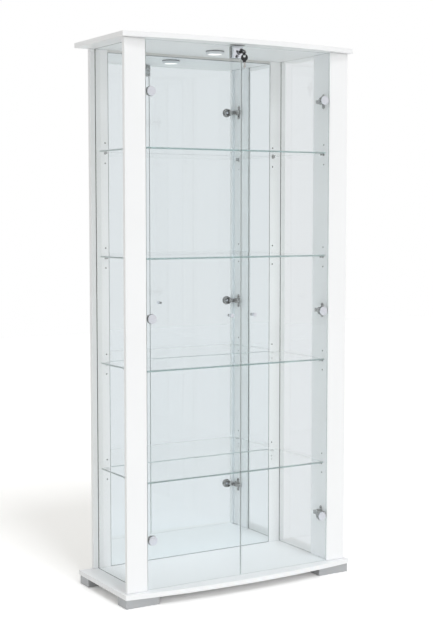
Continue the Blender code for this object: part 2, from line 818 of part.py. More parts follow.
def lock_clamp():
    """The block behind the glass that takes the barrel, with two holes for set screws on the glass."""
    clamp = block(
        "lock_clamp",
        (-LOCK_IN - LOCK_WIDTH, Y_INSIDE + SEAT, LOCK_TOP - LOCK_HEIGHT),
        (-LOCK_IN, BARREL_END, LOCK_TOP),
        NICKEL,
        LOCK_ROUNDING,
    )
    start = Y_INSIDE - MARGIN
    through = CLAMP_DEPTH + 2 * MARGIN
    back = (0, 1, 0)
    bore = rods("lock_clamp_bore", [(PLUG_X, start, PLUG_Z)], BARREL_RADIUS + SEAT, through, back, 24)
    cut(clamp, bore)
    x = PLUG_X - SET_SCREW_OFFSET
    steps = (-SET_SCREW_PITCH / 2, SET_SCREW_PITCH / 2)
    screws = [(x, start, PLUG_Z + step) for step in steps]
    cut(clamp, rods("lock_clamp_screw_holes", screws, SET_SCREW_RADIUS, through, back, 12))
    return clamp


def lock_plug():
    """The plug that turns with the key, with a keyway at the key's resting tilt."""
    length = BARREL_END - PLUG_FACE
    rounding = PLUG_RADIUS / 12
    profile = [
        (0, 0),
        (PLUG_RADIUS - rounding, 0),
        (PLUG_RADIUS, -rounding),
        (PLUG_RADIUS, -length),
        (0, -length),
    ]
    plug = turned("lock_plug", profile, NICKEL, (PLUG_X, PLUG_FACE, PLUG_Z), steps=24)
    half_width = KEY_BLADE_WIDTH / 2 + SEAT
    half_height = KEY_BLADE / 2 + SEAT
    depth = KEY_BLADE_LENGTH + 2 * SEAT
    keyway = block(
        "lock_keyway",
        (PLUG_X - half_width, PLUG_FACE - depth, PLUG_Z - half_height),
        (PLUG_X + half_width, PLUG_FACE + depth, PLUG_Z + half_height),
    )
    keyway.rotation_euler = (0, KEY_TILT, 0)
    cut(plug, keyway)
    return plug


def lock_bolt():
    """The bolt beside the plug, its end level with the top of the case until the key turns."""
    return block(
        "lock_bolt",
        (BOLT_X - BOLT_WIDTH / 2, BOLT_Y - BOLT_DEPTH / 2, LOCK_TOP - BOLT_LENGTH - SEAT),
        (BOLT_X + BOLT_WIDTH / 2, BOLT_Y + BOLT_DEPTH / 2, LOCK_TOP - SEAT),
        NICKEL,
    )


def strike_plate():
    """The plate under the top that takes the bolt."""
    x = -LOCK_IN - LOCK_WIDTH / 2
    plate = block(
        "lock_strike_plate",
        (x - STRIKE_LENGTH / 2, BOLT_Y - STRIKE_WIDTH / 2, Z_CEILING - SEAT - STRIKE),
        (x + STRIKE_LENGTH / 2, BOLT_Y + STRIKE_WIDTH / 2, Z_CEILING - SEAT),
        NICKEL,
    )
    half_width = BOLT_WIDTH / 2 + 2 * SEAT
    half_depth = BOLT_DEPTH / 2 + 2 * SEAT
    hole = block(
        "lock_strike_hole",
        (BOLT_X - half_width, BOLT_Y - half_depth, Z_CEILING - STRIKE - MARGIN),
        (BOLT_X + half_width, BOLT_Y + half_depth, Z_CEILING + MARGIN),
    )
    cut(plate, hole)


def key(name):
    """A key about its shoulder: the blade along its own +Y and the holed bow along -Y."""
    bow_start = math.degrees(math.asin(KEY_NECK_WIDTH / 2 / KEY_BOW_RADIUS))
    middle = (0, -KEY_BOW_MIDDLE)
    outline = [
        (-KEY_NECK_WIDTH / 2, 0),
        *arc(middle, KEY_BOW_RADIUS, 90 + bow_start, 450 - bow_start, 28),
        (KEY_NECK_WIDTH / 2, 0),
    ]
    bow = slab(name, outline, KEY_BOW, BLACK_PLASTIC)
    half = KEY_BLADE_WIDTH / 2
    step = KEY_BLADE_LENGTH / 6
    blade = [(half, -KEY_NECK / 2), (half, KEY_BLADE_LENGTH - half), (0, KEY_BLADE_LENGTH)]
    for notch in (4, 3, 2, 1):
        blade.append((-half, (notch + 0.5) * step))
        blade.append((KEY_NOTCH - half, notch * step))
    blade.append((-half, step / 2))
    blade.append((-half, -KEY_NECK / 2))
    fuse(bow, slab(f"{name}_blade", blade, KEY_BLADE))
    hole_place = (0, -KEY_HOLE_MIDDLE, -KEY_BOW)
    hole = rods(f"{name}_hole", [hole_place], KEY_HOLE_RADIUS, 2 * KEY_BOW, (0, 0, 1), 20)
    cut(bow, hole)
    return bow, (f"{name}_blade", f"{name}_hole")


def place_key(made, location, rotation):
    """Moves a key and the tools that shape it to where the key is."""
    bow, tools = made
    for obj in (bow, *(bpy.data.objects[tool] for tool in tools)):
        obj.location = location
        obj.rotation_euler = rotation
    return bow


def keys_and_ring():
    """The key in the lock, and the ring through its bow from which the spare key hangs."""
    in_lock = place_key(key("key"), (PLUG_X, KEY_SHOULDER, PLUG_Z), (0, KEY_TILT, 0))
    spare_shoulder = SPARE_HOLE_TOP - KEY_HOLE_RADIUS - KEY_HOLE_MIDDLE
    spare = place_key(key("spare_key"), (PLUG_X, RING_Y, spare_shoulder), (-math.pi / 2, 0, 0))
    bpy.ops.mesh.primitive_torus_add(
        major_radius=RING_RADIUS,
        minor_radius=RING_WIRE,
        major_segments=32,
        minor_segments=8,
        location=(PLUG_X, RING_Y, RING_Z),
        rotation=(0, math.pi / 2, 0),
    )
    ring = bpy.context.object
    ring.name = "key_ring"
    ring.data.materials.append(NICKEL)
    for collection in ring.users_collection:
        collection.objects.unlink(ring)
    PARTS.objects.link(ring)
    smooth(ring.data)
    return in_lock, ring, spare


def doors_and_lock():
    """Both doors on their hinge axes, and the lock's moving pieces on theirs."""
    right_pieces = door("right", 1)
    joint_empty("door_right_hinge", (DOOR_OUT, Y_DOOR, DOOR_MIDDLE), right_pieces)

    left_pieces = door("left", -1)
    glass_left = left_pieces[0]
    lock_start = (PLUG_X, Y_DOOR - MARGIN, PLUG_Z)
    through = DOOR + 2 * MARGIN
    cut(glass_left, rods("door_lock_hole", [lock_start], BARREL_RADIUS + SEAT, through, (0, 1, 0), 24))
    left_pieces += [lock_case(), lock_clamp()]
    strike_plate()
    left_hinge = joint_empty("door_left_hinge", (-DOOR_OUT, Y_DOOR, DOOR_MIDDLE), left_pieces)

    in_lock, ring, spare = keys_and_ring()
    axis = (PLUG_X, PLUG_FACE, PLUG_Z)
    turn = joint_empty("key_turn", axis, [lock_plug()], left_hinge)
    draw = joint_empty("key_draw", axis, [in_lock], turn)
    joint_empty("ring_hang", axis, [ring, spare], draw)
    joint_empty("bolt_throw", (BOLT_X, BOLT_Y, LOCK_TOP), [lock_bolt()], left_hinge)


panels()
feet()
uprights()
sheets()
shelves()
light()
doors_and_lock()
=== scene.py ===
"""The looks of a glass display case: its finishes, small fittings, and the studio it stands in."""

import json
import math

import bmesh
import bpy
from mathutils import Matrix, Vector

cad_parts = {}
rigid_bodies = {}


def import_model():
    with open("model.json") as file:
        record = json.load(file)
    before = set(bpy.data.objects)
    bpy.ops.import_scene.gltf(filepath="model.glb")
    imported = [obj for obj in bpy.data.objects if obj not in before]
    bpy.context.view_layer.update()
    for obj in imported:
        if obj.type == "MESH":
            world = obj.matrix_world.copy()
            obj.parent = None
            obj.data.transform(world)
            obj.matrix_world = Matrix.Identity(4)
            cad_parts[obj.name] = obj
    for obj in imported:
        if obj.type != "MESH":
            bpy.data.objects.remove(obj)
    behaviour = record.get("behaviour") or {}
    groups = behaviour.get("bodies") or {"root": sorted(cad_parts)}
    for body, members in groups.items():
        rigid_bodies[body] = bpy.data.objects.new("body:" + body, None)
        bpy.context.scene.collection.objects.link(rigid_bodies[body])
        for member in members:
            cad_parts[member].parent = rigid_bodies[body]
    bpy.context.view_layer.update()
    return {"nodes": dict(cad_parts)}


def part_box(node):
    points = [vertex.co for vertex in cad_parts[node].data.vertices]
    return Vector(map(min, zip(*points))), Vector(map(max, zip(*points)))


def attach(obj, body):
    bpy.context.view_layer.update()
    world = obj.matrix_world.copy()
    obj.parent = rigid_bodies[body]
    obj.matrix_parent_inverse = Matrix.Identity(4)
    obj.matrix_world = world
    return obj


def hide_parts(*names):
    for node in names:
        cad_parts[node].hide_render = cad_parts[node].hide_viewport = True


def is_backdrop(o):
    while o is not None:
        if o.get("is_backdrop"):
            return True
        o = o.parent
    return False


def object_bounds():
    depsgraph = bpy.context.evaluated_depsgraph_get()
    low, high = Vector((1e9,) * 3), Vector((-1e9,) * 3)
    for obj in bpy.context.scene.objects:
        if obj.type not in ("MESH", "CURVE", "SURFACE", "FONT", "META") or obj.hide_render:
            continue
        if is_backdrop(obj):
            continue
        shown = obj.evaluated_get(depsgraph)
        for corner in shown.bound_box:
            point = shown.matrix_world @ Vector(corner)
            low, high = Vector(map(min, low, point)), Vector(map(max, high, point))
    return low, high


for leftover in list(bpy.data.objects):
    bpy.data.objects.remove(leftover)
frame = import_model()

# Base and top panels.
# Two bow-fronted boards of 15 mm particle board, faced with white melamine paper that is pressed
# on against a pearled steel plate, and edged all round with white tape.
MM = 0.001
nodes = frame["nodes"]


def linear(hex_colour):
    """An sRGB hex colour as the linear RGBA that a shader takes."""
    channels = [int(hex_colour[start : start + 2], 16) / 255 for start in (1, 3, 5)]
    return (*(c / 12.92 if c <= 0.04045 else ((c + 0.055) / 1.055) ** 2.4 for c in channels), 1.0)


def put(tree, kind, inputs, **settings):
    """Adds a node with its settings. An input is a plain value, or (node, output) for a link."""
    added = tree.nodes.new("ShaderNode" + kind)
    for name, value in settings.items():
        setattr(added, name, value)
    for name, value in inputs.items():
        if isinstance(value, tuple) and isinstance(value[0], bpy.types.Node):
            tree.links.new(value[0].outputs[value[1]], added.inputs[name])
        else:
            added.inputs[name].default_value = value
    return added


def new_surface(name):
    """A material with an empty node tree, and its output node."""
    material = bpy.data.materials.new(name)
    material.use_nodes = True
    tree = material.node_tree
    tree.nodes.clear()
    return material, tree, tree.nodes.new("ShaderNodeOutputMaterial")


def dress(material, *names):
    """Gives CAD nodes a finish in place of the plain one they were packed with."""
    for name in names:
        nodes[name].data.materials.clear()
        nodes[name].data.materials.append(material)


SAME_POINT = 0.01 * MM
CREASE = math.radians(40)  # faces that meet at more than this make a real edge


def join_points(node):
    """Joins the points that lie on each other where the faces of a CAD node meet."""
    joined = node.modifiers.new("joined", "WELD")
    joined.merge_threshold = SAME_POINT


def ease_edges(width, *names):
    """Takes the knife edge off CAD nodes, as sanding or tumbling does, so that the edges catch light."""
    for name in names:
        node = nodes[name]
        join_points(node)
        eased = node.modifiers.new("eased", "BEVEL")
        eased.width = width
        eased.segments = 2
        eased.limit_method = "ANGLE"
        eased.angle_limit = CREASE
        join_points(node)


TAPE_EDGE = 0.6 * MM
PEARL_PIT = 2.5 * MM  # real pits are under a millimetre; drawn coarser so that they show
PAPER_CLOUD = 180 * MM


def pressed_melamine():
    """White paper under clear resin: a soft sheen broken by shallow pits, and a faint unevenness."""
    material, tree, output = new_surface("white_melamine_pearl_pressed")
    place = put(tree, "TexCoord", {})
    cloud = put(tree, "TexNoise", {"Vector": (place, "Object"), "Scale": 1 / PAPER_CLOUD, "Detail": 3.0})
    pits = put(tree, "TexNoise", {"Vector": (place, "Object"), "Scale": 1 / PEARL_PIT, "Detail": 2.0})
    tone = put(
        tree,
        "Mix",
        {0: (cloud, "Fac"), 6: linear("#F2F3F5"), 7: linear("#F6F7F9")},
        data_type="RGBA",
    )
    sheen = put(tree, "MapRange", {"Value": (pits, "Fac"), "To Min": 0.34, "To Max": 0.48})
    bump = put(tree, "Bump", {"Height": (pits, "Fac"), "Strength": 0.08, "Distance": 0.2 * MM})
    shader = put(
        tree,
        "BsdfPrincipled",
        {
            "Base Color": (tone, 2),
            "Roughness": (sheen, "Result"),
            "IOR": 1.5,
            "Normal": (bump, "Normal"),
        },
    )
    tree.links.new(shader.outputs[0], output.inputs["Surface"])
    return material


melamine = pressed_melamine()
dress(melamine, "base_panel", "top_panel")
ease_edges(TAPE_EDGE, "base_panel", "top_panel")

# Feet.
# Four blocks under the corners, wrapped in silver-grey lacquered foil with a fine metal fleck, and
# screwed up into the base.
FOIL_EDGE = 0.8 * MM
FLECK = 1.6 * MM  # real flecks are far finer; drawn coarser so that they show


def silver_lacquer():
    """Clear lacquer over grey with metal dust: satin, with a slight sparkle."""
    material, tree, output = new_surface("silver_grey_lacquer_sprayed")
    place = put(tree, "TexCoord", {})
    fleck = put(tree, "TexNoise", {"Vector": (place, "Object"), "Scale": 1 / FLECK, "Detail": 4.0})
    tone = put(
        tree,
        "Mix",
        {0: (fleck, "Fac"), 6: linear("#B0B2B4"), 7: linear("#C4C5C7")},
        data_type="RGBA",
    )
    shader = put(
        tree,
        "BsdfPrincipled",
        {"Base Color": (tone, 2), "Metallic": 0.35, "Roughness": 0.42},
    )
    tree.links.new(shader.outputs[0], output.inputs["Surface"])
    return material


feet = [f"foot_{end}_{side}" for end in ("front", "rear") for side in ("left", "right")]
dress(silver_lacquer(), *feet)
ease_edges(FOIL_EDGE, *feet)

# Uprights.
# Flat posts at the front and back and a stile behind each front post, all of the same board as
# the panels, dowelled between them and drilled for shelf pins.
for side in ("left", "right"):
    boards = [f"front_post_{side}", f"hinge_stile_{side}", f"rear_post_{side}"]
    dress(melamine, *boards)
    ease_edges(TAPE_EDGE, *boards)

# Raw board and painted shade in the grooves and the spare holes.
# The saw and the drill go through the white paper, so the pressed chips show inside every groove
# that holds a side pane and inside every shelf-pin hole that is left open. The chips are drawn
# near black, far darker than raw board, as painted shade for the depth of the grooves and holes.
CHIP = 2.2 * MM
PIN_REACH = 12 * MM  # how far a pin stands out of its board
PIN_DROP = 2.8 * MM  # from the underside of a shelf to the axis of its pins
FRONT_PIN_SETBACK = 31.6 * MM  # from the front of a stile to its pins
REAR_PIN_INSET = 10.5 * MM  # from the inner edge of a rear post to its pins
HOLE_PITCH = 32 * MM
SIDES = (("left", -1), ("right", 1))


def turn(bm, profile, matrix, steps=20):
    """Adds a closed turned body. The profile runs from axis to axis as (radius, height) in mm."""
    rings = []
    for radius, height in profile:
        if radius == 0:
            rings.append([bm.verts.new(matrix @ Vector((0, 0, height * MM)))])
            continue
        ring = []
        for step in range(steps):
            angle = 2 * math.pi * step / steps
            place = Vector((radius * MM * math.cos(angle), radius * MM * math.sin(angle), height * MM))
            ring.append(bm.verts.new(matrix @ place))
        rings.append(ring)
    for lower, upper in zip(rings, rings[1:]):
        for step in range(steps):
            after = (step + 1) % steps
            corners = (
                lower[step % len(lower)],
                lower[after % len(lower)],
                upper[after % len(upper)],
                upper[step % len(upper)],
            )
            bm.faces.new(dict.fromkeys(corners))


def facing(place, direction):
    """The matrix that puts a piece's own +Z along a direction, at a place."""
    return Matrix.Translation(place) @ Vector(direction).to_track_quat("Z", "Y").to_matrix().to_4x4()


def extrude(bm, section, start, run, across, up):
    """Adds a closed bar: a section in mm along two directions, run from a start by a vector."""
    ends = []
    for along in (Vector((0, 0, 0)), Vector(run)):
        ends.append([
            bm.verts.new(Vector(start) + along + Vector(across) * a * MM + Vector(up) * b * MM)
            for a, b in section
        ])
    bm.faces.new(ends[0])
    bm.faces.new(ends[1])
    for index in range(len(section)):
        after = (index + 1) % len(section)
        bm.faces.new((ends[0][index], ends[0][after], ends[1][after], ends[1][index]))


ROUND_TURN = math.radians(35)  # faces that meet at less than this are shaded as one round surface


def piece(name, bm, material, body):
    """Makes a mesh a piece of the case, which moves with a body."""
    bmesh.ops.recalc_face_normals(bm, faces=bm.faces)
    mesh = bpy.data.meshes.new(name)
    bm.to_mesh(mesh)
    bm.free()
    mesh.materials.append(material)
    mesh.shade_smooth()
    mesh.set_sharp_from_angle(angle=ROUND_TURN)
    made = bpy.data.objects.new(name, mesh)
    bpy.context.scene.collection.objects.link(made)
    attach(made, body)
    return made


def cut_board_and_shade():
    """Cut particle board: chips of mixed tone, dull and rough, drawn near black as painted shade."""
    material, tree, output = new_surface("particle_board_cut_painted_shade")
    place = put(tree, "TexCoord", {})
    chips = put(tree, "TexVoronoi", {"Vector": (place, "Object"), "Scale": 1 / CHIP})
    # painted shade: both chip tones are near black, darker than raw board, for the shade inside grooves
    # and holes
    tone = put(
        tree,
        "Mix",
        {0: (chips, "Distance"), 6: linear("#2C2820"), 7: linear("#443E33")},
        data_type="RGBA",
    )
    bump = put(tree, "Bump", {"Height": (chips, "Distance"), "Strength": 0.4, "Distance": 0.3 * MM})
    shader = put(
        tree,
        "BsdfPrincipled",
        {"Base Color": (tone, 2), "Roughness": 0.85, "Normal": (bump, "Normal")},
    )
    tree.links.new(shader.outputs[0], output.inputs["Surface"])
    return material


pin_heights = [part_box(f"glass_shelf_{level}")[0].z - PIN_DROP for level in range(1, 5)]
pin_mouths = []  # the place on a board's face, at height 0, and the direction into the case
for side, sign in SIDES:
    stile_low, stile_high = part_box(f"hinge_stile_{side}")
    rear_low, rear_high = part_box(f"rear_post_{side}")
    stile_face = (stile_high.x if sign < 0 else stile_low.x) + sign * PIN_REACH
    rear_edge = rear_high.x if sign < 0 else rear_low.x
    front_mouth = Vector((stile_face, stile_low.y + FRONT_PIN_SETBACK, 0))
    rear_mouth = Vector((rear_edge + sign * REAR_PIN_INSET, rear_low.y + PIN_REACH, 0))
    pin_mouths.append((front_mouth, Vector((-sign, 0, 0))))
    pin_mouths.append((rear_mouth, Vector((0, -1, 0))))

groove_lining_and_shade = cut_board_and_shade()
HOLE_LINING = [(0, -8.8), (2.35, -8.8), (2.35, -0.2), (2.15, -0.2), (2.15, -8.5), (0, -8.5)]
holes = bmesh.new()
for mouth, inward in pin_mouths:
    for height in pin_heights:
        for step in (-HOLE_PITCH, HOLE_PITCH):
            place = facing(mouth + Vector((0, 0, height + step)), inward)
            turn(holes, HOLE_LINING, place, steps=12)
piece("spare_hole_walls", holes, groove_lining_and_shade, "cabinet")

GROOVE_SECTION = [
    (-2.45, 0.1), (-2.45, 4.95), (2.45, 4.95), (2.45, 0.1),
    (2.2, 0.1), (2.2, 4.8), (-2.2, 4.8), (-2.2, 0.1),
]  # mm, across a groove and into the board: a thin lining, open to the pane
for side, sign in SIDES:
    low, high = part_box(f"side_glass_{side}")
    x = (low.x + high.x) / 2
    stile_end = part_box(f"hinge_stile_{side}")[1].y
    rear_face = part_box(f"rear_post_{side}")[0].y + PIN_REACH
    floor_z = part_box("base_panel")[1].z
    ceiling_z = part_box("top_panel")[0].z
    rise = (0, 0, ceiling_z - floor_z)
    depth = (0, rear_face - stile_end, 0)
    grooves = bmesh.new()
    extrude(grooves, GROOVE_SECTION, (x, rear_face, floor_z), rise, (1, 0, 0), (0, 1, 0))
    extrude(grooves, GROOVE_SECTION, (x, stile_end, floor_z), rise, (1, 0, 0), (0, -1, 0))
    extrude(grooves, GROOVE_SECTION, (x, stile_end, floor_z), depth, (1, 0, 0), (0, 0, -1))
    extrude(grooves, GROOVE_SECTION, (x, stile_end, ceiling_z), depth, (1, 0, 0), (0, 0, 1))
    piece(f"pane_groove_walls_{side}", grooves, groove_lining_and_shade, "cabinet")

# Shelf pins.
# Turned steel pins with a collar, nickel plated, pushed into the holes of the stiles and the rear
# posts: four under each shelf.
SMUDGE = 14 * MM


def plated(name, dark, light, rough_low, rough_high):
    """Bright metal plate over a pressed or turned piece, its gloss slightly uneven."""
    material, tree, output = new_surface(name)
    place = put(tree, "TexCoord", {})
    smudge = put(tree, "TexNoise", {"Vector": (place, "Object"), "Scale": 1 / SMUDGE, "Detail": 4.0})
    tone = put(
        tree,
        "Mix",
        {0: (smudge, "Fac"), 6: linear(dark), 7: linear(light)},
        data_type="RGBA",
    )
    gloss = put(tree, "MapRange", {"Value": (smudge, "Fac"), "To Min": rough_low, "To Max": rough_high})
    shader = put(
        tree,
        "BsdfPrincipled",
        {"Base Color": (tone, 2), "Metallic": 1.0, "Roughness": (gloss, "Result")},
    )
    tree.links.new(shader.outputs[0], output.inputs["Surface"])
    return material


nickel = plated("nickel_plate_on_pressed_steel", "#A3A3A2", "#B9B9B7", 0.2, 0.34)
PIN = [
    (0, 0.05), (4.2, 0.05), (4.4, 0.25), (4.4, 0.9), (4.0, 1.3),
    (2.7, 1.4), (2.7, 11.7), (2.3, 12.2), (0, 12.4),
]  # mm: the collar against the board, then the shank
for level, height in enumerate(pin_heights, 1):
    pins = bmesh.new()
    for mouth, inward in pin_mouths:
        turn(pins, PIN, facing(mouth + Vector((0, 0, height)), inward))
    piece(f"shelf_pins_{level}", pins, nickel, "cabinet")

# Side panes, shelves and door panes.
# Clear float glass, 4 mm at the sides and 5 mm for shelves and doors, cut to size with every
# edge ground. The iron in the sand makes it green where light runs a long way inside it.
GLASS_TINT = "#46D3D0"
GLASS_DENSITY = 1.0  # per metre
GLASS_EDGE = "#F6FFFE"
GRIND_ROUGHNESS = 0.4
GRIND_WHITE = 0.07  # the share of the ground edge that scatters light instead of passing it
FACE_TURN = 0.8  # where the normal has less than this along the thin axis, the surface is an edge


def float_glass(thin):
    """Clear and sharply reflecting, faintly green through the face, green and satin on its ground edge.

    thin is the axis that the sheet is thin along, which tells its faces from its edges. Light on its
    way to a lit surface passes straight through, as it all but does in a flat pane.
    """
    material, tree, output = new_surface(f"clear_float_glass_ground_edges_{thin.lower()}")
    place = put(tree, "TexCoord", {})
    turned_to = put(tree, "SeparateXYZ", {"Vector": (place, "Normal")})
    flatness = put(tree, "Math", {0: (turned_to, thin)}, operation="ABSOLUTE")
    edge = put(tree, "Math", {0: (flatness, 0), 1: FACE_TURN}, operation="LESS_THAN")
    tone = put(
        tree,
        "Mix",
        {0: (edge, 0), 6: linear("#FBFCFC"), 7: linear(GLASS_EDGE)},
        data_type="RGBA",
    )
    grind = put(tree, "Math", {0: (edge, 0), 1: GRIND_ROUGHNESS}, operation="MULTIPLY")
    clear = put(tree, "MapRange", {"Value": (edge, 0), "To Min": 1.0, "To Max": 1.0 - GRIND_WHITE})
    glass = put(
        tree,
        "BsdfPrincipled",
        {
            "Base Color": (tone, 2),
            "Roughness": (grind, 0),
            "IOR": 1.52,
            "Transmission Weight": (clear, "Result"),
        },
    )
    pane = put(tree, "BsdfTransparent", {"Color": linear("#FEFFFF")})
    ray = put(tree, "LightPath", {})
    lit_through = put(
        tree,
        "Math",
        {0: (ray, "Is Shadow Ray"), 1: (ray, "Diffuse Depth")},
        operation="MAXIMUM",
    )
    mix = put(tree, "MixShader", {0: (lit_through, 0), 1: (glass, 0), 2: (pane, 0)})
    tree.links.new(mix.outputs[0], output.inputs["Surface"])
    depth = put(tree, "VolumeAbsorption", {"Color": linear(GLASS_TINT), "Density": GLASS_DENSITY})
    tree.links.new(depth.outputs[0], output.inputs["Volume"])
    return material


dress(float_glass("X"), "side_glass_left", "side_glass_right")
dress(float_glass("Y"), "door_glass_left", "door_glass_right")
dress(float_glass("Z"), *(f"glass_shelf_{level}" for level in range(1, 5)))

# Mirror and back board.
# A 3 mm sheet of silvered float glass stands between the rear posts, with a sheet of painted
# hardboard behind it, nailed into their rebates.
MIRROR_WAVE = 1000 / 3 * MM


def silvered_glass():
    """Silver behind float glass: a sharp reflection with a slight green-blue cast."""
    material, tree, output = new_surface("silvered_float_glass")
    place = put(tree, "TexCoord", {})
    wave = put(tree, "TexNoise", {"Vector": (place, "Object"), "Scale": 1 / MIRROR_WAVE, "Detail": 1.0})
    tone = put(
        tree,
        "Mix",
        {0: (wave, "Fac"), 6: linear("#F6FAFB"), 7: linear("#F8FCFD")},
        data_type="RGBA",
    )
    shader = put(
        tree,
        "BsdfPrincipled",
        {"Base Color": (tone, 2), "Metallic": 1.0, "Roughness": 0.01},
    )
    tree.links.new(shader.outputs[0], output.inputs["Surface"])
    return material


FIBRE = 3 * MM


def painted_hardboard():
    """Pressed wood fibre under one coat of grey-white paint: dull, with the fibres just visible."""
    material, tree, output = new_surface("hardboard_roller_painted")
    place = put(tree, "TexCoord", {})
    fibre = put(
        tree,
        "TexNoise",
        {"Vector": (place, "Object"), "Scale": 1 / FIBRE, "Detail": 6.0, "Roughness": 0.7},
    )
    tone = put(
        tree,
        "Mix",
        {0: (fibre, "Fac"), 6: linear("#DFDFDD"), 7: linear("#EAEAE8")},
        data_type="RGBA",
    )
    bump = put(tree, "Bump", {"Height": (fibre, "Fac"), "Strength": 0.25, "Distance": 0.3 * MM})
    shader = put(
        tree,
        "BsdfPrincipled",
        {"Base Color": (tone, 2), "Roughness": 0.75, "Normal": (bump, "Normal")},
    )
    tree.links.new(shader.outputs[0], output.inputs["Surface"])
    return material


def rim_paint_and_shade():
    """Grey paint seen through the rim of the glass, where the silver stops: flat and dull. The band also
    paints the shade along the mirror's edges.
    """
    material, tree, output = new_surface("mirror_rim_paint_and_shade")
    place = put(tree, "TexCoord", {})
    roller = put(tree, "TexNoise", {"Vector": (place, "Object"), "Scale": 1 / FIBRE, "Detail": 3.0})
    # painted shade: this grey stands for the bare rim and for the shade where the mirror meets the posts
    # and panels
    tone = put(
        tree,
        "Mix",
        {0: (roller, "Fac"), 6: linear("#84898B"), 7: linear("#989D9E")},
        data_type="RGBA",
    )
    shader = put(tree, "BsdfPrincipled", {"Base Color": (tone, 2), "Roughness": 0.35})
    tree.links.new(shader.outputs[0], output.inputs["Surface"])
    return material


dress(silvered_glass(), "mirror_sheet")
dress(painted_hardboard(), "back_board")

# The rim band also paints the shade along the edges of the mirror.
RIM = 2.0  # mm, the width of the bare rim of the mirror
RIM_SECTION = [(0, 0.1), (RIM, 0.1), (RIM, 0.25), (0.2, 0.25), (0, 0.15)]
low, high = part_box("mirror_sheet")
rim = bmesh.new()
for x, inward in ((low.x, 1), (high.x, -1)):
    extrude(rim, RIM_SECTION, (x, low.y, low.z), (0, 0, high.z - low.z), (inward, 0, 0), (0, -1, 0))
inside = (high.x - low.x - 2 * RIM * MM, 0, 0)
for z, inward in ((low.z, 1), (high.z, -1)):
    extrude(rim, RIM_SECTION, (low.x + RIM * MM, low.y, z), inside, (0, 0, inward), (0, -1, 0))
piece("mirror_rim", rim, rim_paint_and_shade(), "cabinet")

NAIL_PITCH = 138 * MM
NAIL_INSET = 2.9 * MM
NAIL = [(0, 0.05), (2.0, 0.05), (2.1, 0.3), (1.7, 0.6), (0, 0.8)]
low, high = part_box("back_board")
nails = bmesh.new()
nail_count = round((high.z - low.z) / NAIL_PITCH)
for x in (low.x + NAIL_INSET, high.x - NAIL_INSET):
    for number in range(nail_count):
        z = low.z + (number + 0.5) * (high.z - low.z) / nail_count
        turn(nails, NAIL, facing((x, high.y, z), (0, 1, 0)), steps=12)
piece("back_board_nails", nails, nickel, "cabinet")

# Hinges.
# Concealed hinges for glass doors: a cup through a hole in the pane, a pressed arm on a plate
# screwed to the stile, and a round chromed cap that hides the hole from the front.
LEVELS = ("lower", "middle", "upper")
PRESSED_EDGE = 0.35 * MM


def smooth_round(*names):
    """Shades the facets of round CAD nodes smooth, and keeps their real edges sharp."""
    for name in names:
        node = nodes[name]
        node.data.shade_smooth()
        join_points(node)
        split = node.modifiers.new("edges", "EDGE_SPLIT")
        split.split_angle = ROUND_TURN


chrome = plated("chrome_plate_polished", "#DFE0E6", "#E9EAEE", 0.06, 0.14)
for side in ("left", "right"):
    for level in LEVELS:
        dress(chrome, f"hinge_cap_{side}_{level}")
        dress(nickel, *(f"hinge_{kind}_{side}_{level}" for kind in ("cup", "arm", "plate")))
        smooth_round(f"hinge_cap_{side}_{level}", f"hinge_cup_{side}_{level}")
        ease_edges(PRESSED_EDGE, f"hinge_arm_{side}_{level}", f"hinge_plate_{side}_{level}")

RECESS_HALF = 0.14  # this and the next sizes are shares of the head's radius
RECESS_WALL = 0.05
RECESS_REACH = 0.6
HEAD_RINGS = (0.24, 0.36, 0.48, 0.6, 0.66, 0.8, 0.93)
RECESS_DEPTH = 0.6  # this and the next two are shares of the head's height
HEAD_FALL = 0.4  # from the middle of the dome to its edge
HEAD_RIM = 0.45
FLOOR_WIDEST = math.radians(30)  # these two keep the arms of the recess apart near the middle
MOUTH_WIDEST = math.radians(40)


def screw_head(bm, radius, height, matrix):
    """Adds a domed screw head in mm, with a cross recess pressed into it."""
    def vertex(share, angle, level):
        out = share * radius
        place = Vector((out * math.cos(angle), out * math.sin(angle), level * height))
        return bm.verts.new(matrix @ (place * MM))

    rings = []
    for share in HEAD_RINGS:
        floor_half = min(math.asin(RECESS_HALF / share), FLOOR_WIDEST)
        mouth_half = min(math.asin((RECESS_HALF + RECESS_WALL) / share), MOUTH_WIDEST)
        between = math.pi / 2 - 2 * mouth_half
        ring = []
        for arm in range(4):
            dome = 1 - HEAD_FALL * share * share
            recess = dome - RECESS_DEPTH if share <= RECESS_REACH else dome
            for angle, level in (
                (-floor_half, recess),
                (0, recess),
                (floor_half, recess),
                (mouth_half, dome),
                (mouth_half + between / 3, dome),
                (mouth_half + between * 2 / 3, dome),
                (mouth_half + between, dome),
            ):
                ring.append(vertex(share, arm * math.pi / 2 + angle, level))
        rings.append(ring)
    steps = len(rings[0])
    for level in (HEAD_RIM, 0.0):
        rings.append([vertex(1, 2 * math.pi * (step - 1) / steps, level) for step in range(steps)])
    middle = vertex(0, 0, 1 - RECESS_DEPTH)
    foot = vertex(0, 0, 0)
    for step in range(steps):
        after = (step + 1) % steps
        bm.faces.new((middle, rings[0][step], rings[0][after]))
        bm.faces.new((foot, rings[-1][after], rings[-1][step]))
        for inner, outer in zip(rings, rings[1:]):
            bm.faces.new((inner[step], outer[step], outer[after], inner[after]))


